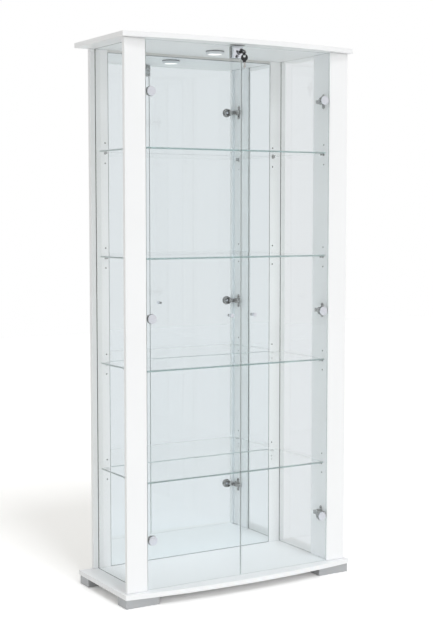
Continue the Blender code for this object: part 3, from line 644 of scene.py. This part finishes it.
PLATE_FACE = 2.25 * MM  # from the stile's side of a plate to the face of its wings
PLATE_SCREW = (3.4, 1.5)  # the radius and height of the head in mm, as for the other screws
PLATE_SCREW_RISE = 18 * MM
ARM_CROWN = 15.7 * MM  # from the stile's side of a plate to the crown of its arm
ARM_SCREW = (2.6, 1.6)
ARM_SCREW_STEP = 10 * MM
ARM_SCREW_SINK = 1.2 * MM
CUP_DEPTH = 14.2 * MM  # from the mouth of a cup to its floor
CLAMP_SCREW = (4.6, 2.6)
CLAMP_SHANK = [(0, 0.1), (4.2, 0.1), (4.2, 7.0), (0, 7.0)]
CLAMP_SCREW_RISE = 7.05 * MM  # from the floor of a cup to the underside of the head
for side, sign in SIDES:
    fixing = bmesh.new()
    clamping = bmesh.new()
    inward = (-sign, 0, 0)
    for level in LEVELS:
        low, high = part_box(f"hinge_plate_{side}_{level}")
        middle = (low + high) / 2
        stile_side = low.x if sign < 0 else high.x
        for step in (-PLATE_SCREW_RISE, PLATE_SCREW_RISE):
            place = (stile_side - sign * PLATE_FACE, middle.y, middle.z + step)
            screw_head(fixing, *PLATE_SCREW, facing(place, inward))
        crown_face = stile_side - sign * ARM_CROWN
        for step in (-ARM_SCREW_STEP, ARM_SCREW_STEP):
            place = (crown_face + sign * ARM_SCREW_SINK, middle.y + step, middle.z)
            screw_head(fixing, *ARM_SCREW, facing(place, inward))
        low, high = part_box(f"hinge_cup_{side}_{level}")
        middle = (low + high) / 2
        cap_low, cap_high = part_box(f"hinge_cap_{side}_{level}")
        bore = (cap_low + cap_high) / 2
        cup_floor = high.y - CUP_DEPTH
        turn(clamping, CLAMP_SHANK, facing((bore.x, cup_floor, middle.z), (0, 1, 0)))
        place = (bore.x, cup_floor + CLAMP_SCREW_RISE, middle.z)
        screw_head(clamping, *CLAMP_SCREW, facing(place, (0, 1, 0)))
    piece(f"hinge_screws_{side}", fixing, nickel, "cabinet")
    piece(f"hinge_clamp_screws_{side}", clamping, chrome, f"door_{side}")

# Knobs.
# A small knob on each door, turned and polished under chrome plate. A nickel-plated screw through
# a hole in the pane holds it from behind.
for side in ("left", "right"):
    dress(chrome, f"knob_{side}")
    dress(nickel, f"knob_screw_{side}")
    smooth_round(f"knob_{side}", f"knob_screw_{side}")

# Light.
# A round light screwed up under the top: a satin chromed ring with a frosted acrylic lens in it,
# and a grey band between the ring and the board that paints the shade of the gap there.
LENS_GRAIN = 1.5 * MM  # the real grain is finer; drawn coarser so that it shows


def lens_with_painted_glow():
    """Milky moulded acrylic, with a faint painted glow that keeps it white."""
    material, tree, output = new_surface("frosted_acrylic_painted_glow")
    place = put(tree, "TexCoord", {})
    grain = put(tree, "TexNoise", {"Vector": (place, "Object"), "Scale": 1 / LENS_GRAIN, "Detail": 2.0})
    bump = put(tree, "Bump", {"Height": (grain, "Fac"), "Strength": 0.2, "Distance": 0.2 * MM})
    shader = put(
        tree,
        "BsdfPrincipled",
        {
            "Base Color": linear("#F6F6F3"),
            "Roughness": 0.5,
            "IOR": 1.49,
            "Normal": (bump, "Normal"),
            # painted glow: a faint light of its own that keeps the lens white
            "Emission Color": linear("#FFFDF8"),
            "Emission Strength": 0.75,
        },
    )
    tree.links.new(shader.outputs[0], output.inputs["Surface"])
    return material

GAP_BAND_PORE = 0.9 * MM


def gap_shade_band():
    """Painted shade for the gap under the light: a mid grey band, dull, with fine pores."""
    material, tree, output = new_surface("grey_band_painted_gap_shade")
    place = put(tree, "TexCoord", {})
    pores = put(tree, "TexNoise", {"Vector": (place, "Object"), "Scale": 1 / GAP_BAND_PORE, "Detail": 3.0})
    # painted shade: the grey of this band stands for the shaded gap between the housing and the top
    tone = put(
        tree,
        "Mix",
        {0: (pores, "Fac"), 6: linear("#6E7072"), 7: linear("#868889")},
        data_type="RGBA",
    )
    bump = put(tree, "Bump", {"Height": (pores, "Fac"), "Strength": 0.4, "Distance": 0.2 * MM})
    shader = put(
        tree,
        "BsdfPrincipled",
        {"Base Color": (tone, 2), "Roughness": 0.8, "Normal": (bump, "Normal")},
    )
    tree.links.new(shader.outputs[0], output.inputs["Surface"])
    return material


satin_chrome = plated("chrome_plate_satin_blasted", "#E6E7EA", "#EFF0F2", 0.34, 0.44)
dress(satin_chrome, "light_housing")
dress(lens_with_painted_glow(), "light_lens")
smooth_round("light_housing", "light_lens")

GAP_BAND_PROFILE = [(29.05, 0.1), (29.5, 0.1), (29.6, 1.6), (29.4, 3.2), (29.05, 3.4)]
RING_SEAM = 0.001 * MM  # joins the points where the profile of a turned ring closes on itself
low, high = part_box("light_housing")
under_top = facing(((low.x + high.x) / 2, (low.y + high.y) / 2, high.z), (0, 0, -1))
gap_band = bmesh.new()
turn(gap_band, [*GAP_BAND_PROFILE, GAP_BAND_PROFILE[0]], under_top, steps=48)
bmesh.ops.remove_doubles(gap_band, verts=gap_band.verts, dist=RING_SEAM)
piece("light_gap_shade_band", gap_band, gap_shade_band(), "cabinet")

# Lock.
# A chromed case clamped on the top corner of the left door, with a turned plug that throws a bolt
# up into a pressed plate under the top. The bolt, plug, clamp and plate are nickel plated.
dress(chrome, "lock_case")
dress(nickel, "lock_bolt", "lock_strike_plate", "lock_plug", "lock_clamp")
smooth_round("lock_case", "lock_plug", "lock_clamp")
ease_edges(PRESSED_EDGE, "lock_strike_plate", "lock_bolt")

BEZEL = [(5.6, 0.05), (7.4, 0.05), (7.5, 0.2), (7.3, 0.55), (6.6, 0.75), (5.8, 0.7), (5.6, 0.5)]
low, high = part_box("lock_plug")
plug_axis = (low + high) / 2
case_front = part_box("lock_case")[0].y
bezel = bmesh.new()
place = (plug_axis.x, case_front, plug_axis.z)
turn(bezel, [*BEZEL, BEZEL[0]], facing(place, (0, -1, 0)), steps=40)
bmesh.ops.remove_doubles(bezel, verts=bezel.verts, dist=RING_SEAM)
piece("lock_bezel", bezel, chrome, "door_left")

SET_SCREW = (2.3, 2.0)
SET_SCREW_OFFSET = 15 * MM
SET_SCREW_STEP = 10 * MM
SET_SCREW_SINK = 2.4 * MM
clamp_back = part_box("lock_clamp")[1].y
set_screws = bmesh.new()
for step in (-SET_SCREW_STEP, SET_SCREW_STEP):
    place = (plug_axis.x - SET_SCREW_OFFSET, clamp_back - SET_SCREW_SINK, plug_axis.z + step)
    screw_head(set_screws, *SET_SCREW, facing(place, (0, 1, 0)))
piece("lock_set_screws", set_screws, nickel, "door_left")

STRIKE_SCREW = (2.6, 0.5)
STRIKE_SCREW_INSET = 4 * MM
STRIKE_SCREW_GAP = 0.02 * MM
low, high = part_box("lock_strike_plate")
strike_screws = bmesh.new()
for x in (low.x + STRIKE_SCREW_INSET, high.x - STRIKE_SCREW_INSET):
    place = (x, (low.y + high.y) / 2, low.z - STRIKE_SCREW_GAP)
    screw_head(strike_screws, *STRIKE_SCREW, facing(place, (0, 0, -1)))
piece("strike_plate_screws", strike_screws, nickel, "cabinet")

# Keys.
# Two keys milled from nickel silver with black nylon bows moulded on. One is in the lock, and the
# other hangs from it on a split ring of nickel-plated steel through both bows.
NYLON_GRAIN = 0.8 * MM  # the real grain is finer; drawn coarser so that it shows


def black_plastic():
    """Moulded nylon: near black, with a soft sheen and a fine spark-eroded grain."""
    material, tree, output = new_surface("black_nylon_moulded")
    place = put(tree, "TexCoord", {})
    grain = put(tree, "TexNoise", {"Vector": (place, "Object"), "Scale": 1 / NYLON_GRAIN, "Detail": 2.0})
    sheen = put(tree, "MapRange", {"Value": (grain, "Fac"), "To Min": 0.35, "To Max": 0.5})
    bump = put(tree, "Bump", {"Height": (grain, "Fac"), "Strength": 0.2, "Distance": 0.1 * MM})
    shader = put(
        tree,
        "BsdfPrincipled",
        {
            "Base Color": linear("#141416"),
            "Roughness": (sheen, "Result"),
            "IOR": 1.53,
            "Normal": (bump, "Normal"),
        },
    )
    tree.links.new(shader.outputs[0], output.inputs["Surface"])
    return material


KEY_BOW_RADIUS = 10.8  # mm, as are the other sizes of a key
KEY_BOW_MIDDLE = 14.3
KEY_BOW_END = KEY_BOW_MIDDLE + KEY_BOW_RADIUS
KEY_BOW_STEPS = 40
KEY_BOW_ROUND = 0.45
KEY_HOLE_RADIUS = 4.0
KEY_HOLE_WALL = 2.5
KEY_HOLE_MIDDLE = KEY_BOW_END - KEY_HOLE_WALL - KEY_HOLE_RADIUS
KEY_NECK_HALF = 4.5
KEY_BOW_HALF = 1.3
KEY_BLADE_HALF = 3.7
KEY_BLADE_LENGTH = 19.0
KEY_BLADE_ROOT = 1.0  # how far the blade goes into the bow
KEY_BLADE_THIN = 0.95
KEY_BLADE_BEVEL = 0.15
KEY_NOTCH = 1.5
KEY_TILT = math.radians(45)
SPARE_KEY_TURN = math.radians(-25)  # it hangs loose on its ring, turned to the left


def plate_with_hole(bm, outline, hole, half, rounding, matrix):
    """Adds a closed plate in mm, its outline matched point by point by a hole, its edges rounded."""
    loops = []
    for points in (outline, hole):
        for z in (half, -half):
            loops.append([bm.verts.new((x, y, z)) for x, y in points])
    outer_top, outer_low, inner_top, inner_low = loops
    made = []
    count = len(outline)
    for index in range(count):
        after = (index + 1) % count
        for a, b in (
            (outer_top, inner_top),
            (inner_low, outer_low),
            (outer_low, outer_top),
            (inner_top, inner_low),
        ):
            made.append(bm.faces.new((a[index], a[after], b[after], b[index])))
    bmesh.ops.recalc_face_normals(bm, faces=made)
    sharp = [edge for edge in bm.edges if edge.calc_face_angle(0) > math.radians(60)]
    bmesh.ops.bevel(bm, geom=sharp, offset=rounding, segments=3, profile=0.5, affect="EDGES")
    bm.transform(matrix @ Matrix.Scale(MM, 4))


def key_bow(matrix):
    """The moulded bow: a disc with a ring hole, drawn in to a neck at the shoulder."""
    neck_start = math.asin(KEY_NECK_HALF / KEY_BOW_RADIUS)
    outline = [(-KEY_NECK_HALF, 0.0)]
    first = math.pi / 2 + neck_start
    last = 5 * math.pi / 2 - neck_start
    for step in range(KEY_BOW_STEPS + 1):
        angle = first + (last - first) * step / KEY_BOW_STEPS
        outline.append((
            KEY_BOW_RADIUS * math.cos(angle),
            KEY_BOW_RADIUS * math.sin(angle) - KEY_BOW_MIDDLE,
        ))
    outline.append((KEY_NECK_HALF, 0.0))
    hole = []
    for x, y in outline:
        angle = math.atan2(y + KEY_HOLE_MIDDLE, x)
        hole.append((
            KEY_HOLE_RADIUS * math.cos(angle),
            KEY_HOLE_RADIUS * math.sin(angle) - KEY_HOLE_MIDDLE,
        ))
    bm = bmesh.new()
    plate_with_hole(bm, outline, hole, KEY_BOW_HALF, KEY_BOW_ROUND, matrix)
    return bm


def key_blade(matrix):
    """The cut blade: flat stock with a pointed tip, four notches and bevelled edges."""
    half = KEY_BLADE_HALF
    step = KEY_BLADE_LENGTH / 6
    root = -KEY_BLADE_ROOT
    outline = [(half, root), (half, KEY_BLADE_LENGTH - half), (0, KEY_BLADE_LENGTH)]
    for notch in (4, 3, 2, 1):
        outline.append((-half, (notch + 0.5) * step))
        outline.append((KEY_NOTCH - half, notch * step))
    outline += [(-half, step / 2), (-half, root)]
    bm = bmesh.new()
    thin = KEY_BLADE_THIN * MM
    extrude(bm, outline, (0, 0, -thin), (0, 0, 2 * thin), (1, 0, 0), (0, 1, 0))
    bmesh.ops.recalc_face_normals(bm, faces=bm.faces)
    rims = [edge for edge in bm.edges if any(len(face.verts) > 4 for face in edge.link_faces)]
    bmesh.ops.bevel(bm, geom=rims, offset=KEY_BLADE_BEVEL * MM, segments=2, profile=0.5, affect="EDGES")
    bm.transform(matrix)
    return bm


nylon = black_plastic()
key_metal = plated("nickel_silver_key_blank_milled", "#B4B3AE", "#C9C8C4", 0.18, 0.3)
key_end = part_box("key")[0].y
spare_low, spare_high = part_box("spare_key")
shoulder = Vector((plug_axis.x, key_end + KEY_BOW_END * MM, plug_axis.z))
in_lock = Matrix.Translation(shoulder) @ Matrix.Rotation(KEY_TILT, 4, "Y")
hung = (spare_low + spare_high) / 2
hung.z = spare_high.z - KEY_BOW_END * MM
blade_down = Matrix.Rotation(-math.pi / 2, 4, "X")
hanging = Matrix.Translation(hung) @ Matrix.Rotation(SPARE_KEY_TURN, 4, "Z") @ blade_down
for name, body, place in (("key", "inserted_key", in_lock), ("spare_key", "hanging_keys", hanging)):
    bow = piece(f"{name}_bow", key_bow(place), nylon, body)
    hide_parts(name)
    piece(f"{name}_blade", key_blade(place), key_metal, body)
dress(nickel, "key_ring")
smooth_round("key_ring")

# Studio floor.
# A plain matt white floor. What the lens, the glass and the metal see of it is lifted to white, and
# the shade under the case stays. What it throws back on the case is a slightly warm white.
FLOOR_SIZE = 16.0
FLOOR_LIFT = 0.06
FLOOR_THROWN = "#F8F7F4"
FLOOR_IN_GLASS = "#F3F5F9"
FLOOR_GAIN = 1.23  # for the lens alone, so that the open floor is white


def floor_paint():
    """Matt white paint: no gloss at all, and as white to the lens as the wall behind it."""
    material, tree, output = new_surface("studio_floor_matt_white")
    ray = put(tree, "LightPath", {})
    in_glass = put(
        tree,
        "Math",
        {0: (ray, "Is Glossy Ray"), 1: (ray, "Is Transmission Ray")},
        operation="MAXIMUM",
    )
    seen = put(tree, "Math", {0: (ray, "Is Camera Ray"), 1: (in_glass, 0)}, operation="MAXIMUM")
    lift = put(tree, "Math", {0: (seen, 0), 1: FLOOR_LIFT}, operation="MULTIPLY")
    white = (FLOOR_GAIN, FLOOR_GAIN, FLOOR_GAIN, 1.0)
    tone = put(
        tree,
        "Mix",
        {0: (in_glass, 0), 6: linear(FLOOR_THROWN), 7: linear(FLOOR_IN_GLASS)},
        data_type="RGBA",
    )
    paint = put(
        tree,
        "Mix",
        {0: (ray, "Is Camera Ray"), 6: (tone, 2), 7: white},
        data_type="RGBA",
    )
    matt = put(tree, "BsdfDiffuse", {"Color": (paint, 2)})
    glow = put(tree, "Emission", {"Strength": (lift, 0)})
    both = put(tree, "AddShader", {0: (matt, 0), 1: (glow, 0)})
    tree.links.new(both.outputs[0], output.inputs["Surface"])
    return material


floor_mesh = bpy.data.meshes.new("studio_floor")
bm = bmesh.new()
bmesh.ops.create_grid(bm, x_segments=1, y_segments=1, size=FLOOR_SIZE / 2)
bm.to_mesh(floor_mesh)
bm.free()
floor = bpy.data.objects.new("studio_floor", floor_mesh)
floor.data.materials.append(floor_paint())
bpy.context.scene.collection.objects.link(floor)
floor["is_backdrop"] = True

# Studio light.
# White all round for the lens, a little less in the glass, the metal and the mirror, a softer level
# of it on the case, and two narrow lamps in front that no glass or metal shows.
AMBIENT = 0.645
FRONT_GAIN = 0.08  # how much brighter the front of the studio is than its middle
WALL_IN_GLASS = "#ECEDEF"
LAMPS_IN_MIRROR = 1.5  # what the mirror and metal throw back of the lamps on the lit surfaces

world = bpy.data.worlds.new("studio")
bpy.context.scene.world = world
world.use_nodes = True
world.node_tree.nodes.clear()
sky = world.node_tree
ray = put(sky, "LightPath", {})
through = put(
    sky,
    "Math",
    {0: (ray, "Is Glossy Ray"), 1: (ray, "Is Transmission Ray")},
    operation="MAXIMUM",
)
seen = put(sky, "Math", {0: (through, 0), 1: (ray, "Is Camera Ray")}, operation="MAXIMUM")
place = put(sky, "TexCoord", {})
way = put(sky, "SeparateXYZ", {"Vector": (place, "Generated")})
level = put(
    sky,
    "MapRange",
    {
        "Value": (way, "Y"),
        "From Min": -1.0,
        "From Max": 1.0,
        "To Min": AMBIENT + FRONT_GAIN,
        "To Max": AMBIENT - FRONT_GAIN,
    },
)
around = put(sky, "Background", {"Color": linear("#FFFEFB"), "Strength": (level, "Result")})
wall = put(
    sky,
    "Mix",
    {0: (through, 0), 6: linear("#FFFFFF"), 7: linear(WALL_IN_GLASS)},
    data_type="RGBA",
)
thrown_back = put(sky, "Math", {0: (ray, "Diffuse Depth"), 1: 0.5}, operation="GREATER_THAN")
facing_lamps = put(
    sky,
    "MapRange",
    {
        "Value": (way, "Y"),
        "From Min": -1.0,
        "From Max": 0.0,
        "To Min": LAMPS_IN_MIRROR,
        "To Max": 0.0,
    },
)
extra = put(sky, "Math", {0: (thrown_back, 0), 1: (facing_lamps, "Result")}, operation="MULTIPLY")
whole = put(sky, "Math", {0: (extra, 0), 1: 1.0}, operation="ADD")
backdrop = put(sky, "Background", {"Color": (wall, 2), "Strength": (whole, 0)})
both = put(sky, "MixShader", {0: (seen, 0), 1: (around, 0), 2: (backdrop, 0)})
put(sky, "OutputWorld", {"Surface": (both, 0)})

LAMP_WIDTH = math.radians(16)
LAMP_LEFT = math.radians(2)
LAMPS = (("low_front_lamp", 22, 0.55), ("high_front_lamp", 54, 0.66))  # degrees up, strength

for name, height, strength in LAMPS:
    softbox = bpy.data.lights.new(name, "SUN")
    softbox.angle = LAMP_WIDTH
    softbox.energy = strength
    softbox.color = linear("#FAFCFF")[:3]
    lamp = bpy.data.objects.new(name, softbox)
    lamp.rotation_euler = (math.radians(90 - height), 0, -LAMP_LEFT)
    lamp.visible_glossy = False
    lamp.visible_transmission = False
    bpy.context.scene.collection.objects.link(lamp)

# Camera.
# At the photograph's place: to the left of the front, a little above the middle, looking down. It
# follows enough bounces for light to pass the doors, four shelves and the mirror.
FOCAL_LENGTH = 72.47  # mm
SENSOR_WIDTH = 36
CAMERA_PLACE = (-2.1374, -3.5666, 1.1974)
CAMERA_PITCH = math.radians(85.273)
CAMERA_YAW = math.radians(-30.84)
GLASS_BOUNCES = 24
MIRROR_BOUNCES = 12
lens = bpy.data.cameras.new("camera")
lens.lens = FOCAL_LENGTH
lens.sensor_width = SENSOR_WIDTH
camera = bpy.data.objects.new("camera", lens)
camera.location = CAMERA_PLACE
camera.rotation_euler = (CAMERA_PITCH, 0, CAMERA_YAW)
bpy.context.scene.collection.objects.link(camera)
scene = bpy.context.scene
scene.camera = camera
scene.view_settings.view_transform = "Standard"
scene.cycles.max_bounces = GLASS_BOUNCES
scene.cycles.transmission_bounces = GLASS_BOUNCES
scene.cycles.glossy_bounces = MIRROR_BOUNCES
scene.cycles.transparent_max_bounces = GLASS_BOUNCES

low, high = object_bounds()
